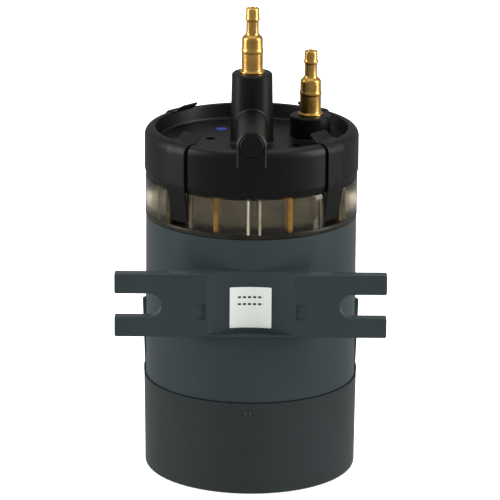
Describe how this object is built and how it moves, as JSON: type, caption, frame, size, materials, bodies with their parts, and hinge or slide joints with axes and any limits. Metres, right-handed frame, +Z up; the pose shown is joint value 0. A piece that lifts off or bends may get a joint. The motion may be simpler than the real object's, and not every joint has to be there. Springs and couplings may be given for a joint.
{
  "type": "magnetic system filter",
  "caption": "Canister filter for heating water with a clip-down lid, clear ring, brass hose tails, wall bracket and pull-out magnet.",
  "frame": {"origin": "centre of the base, on the canister's axis", "axes": "+Z up along the canister's axis, -Y towards the wall bracket, +X to the right of the bracket seen from its front"},
  "size_m": [0.1394, 0.1175, 0.2469],
  "materials": {
    "grey_plastic": "semi-gloss",
    "cap_plastic": "semi-gloss",
    "black_plastic": "satin",
    "clear_ring": "smoky clear",
    "brass": "turned",
    "rubber": "matte",
    "spring_steel": "dark satin",
    "blue_paint": "matte",
    "label_white": "paper",
    "magnet_nickel": "nickel",
    "bare_steel": "brushed"
  },
  "bodies": {
    "canister": {"canister_body": "grey_plastic", "sight_ring": "clear_ring", "lid": "black_plastic", "side_port_plug": "black_plastic", "side_port_seal": "rubber", "inlet_fitting": "brass", "outlet_fitting": "brass", "inlet_seal": "rubber", "outlet_seal": "rubber", "lid_seal": "rubber", "ring_seal": "rubber", "clip_pins": "spring_steel", "inspection_mark": "blue_paint", "label": "label_white", "magnet_sheath": "black_plastic", "sheath_seal": "rubber", "sheath_nut": "brass", "cartridge_base": "black_plastic", "cartridge_mesh": "bare_steel", "cartridge_top": "black_plastic", "inlet_tube": "black_plastic", "cartridge_spring": "bare_steel"},
    "magnet_cup": {"bottom_cup": "cap_plastic", "cup_seal": "rubber", "magnet_spine": "cap_plastic", "magnet_stack": "magnet_nickel", "pole_pieces": "bare_steel", "magnet_end_cap": "black_plastic", "spine_screw": "bare_steel"},
    "clip_front_left": {"clip_front_left": "spring_steel"},
    "clip_front_right": {"clip_front_right": "spring_steel"},
    "clip_rear_left": {"clip_rear_left": "spring_steel"},
    "clip_rear_right": {"clip_rear_right": "spring_steel"}
  },
  "joints": [
    {"name": "magnet_cup_slide", "type": "slide", "parent": "canister", "child": "magnet_cup", "axis": [0, 0, -1], "range_m": [0, 0.115]},
    {"name": "clip_front_left_hinge", "type": "hinge", "parent": "canister", "child": "clip_front_left", "pos_m": [-0.03531, -0.03721, 0.1435], "axis": [0.7254, -0.6884, 0], "range_deg": [0, 88]},
    {"name": "clip_front_right_hinge", "type": "hinge", "parent": "canister", "child": "clip_front_right", "pos_m": [0.0393, -0.03297, 0.1435], "axis": [0.6428, 0.766, 0], "range_deg": [0, 88]},
    {"name": "clip_rear_left_hinge", "type": "hinge", "parent": "canister", "child": "clip_rear_left", "pos_m": [-0.03812, 0.03433, 0.1435], "axis": [-0.6691, -0.7431, 0], "range_deg": [0, 88]},
    {"name": "clip_rear_right_hinge", "type": "hinge", "parent": "canister", "child": "clip_rear_right", "pos_m": [0.03332, 0.03901, 0.1435], "axis": [-0.7604, 0.6494, 0], "range_deg": [0, 88]}
  ]
}
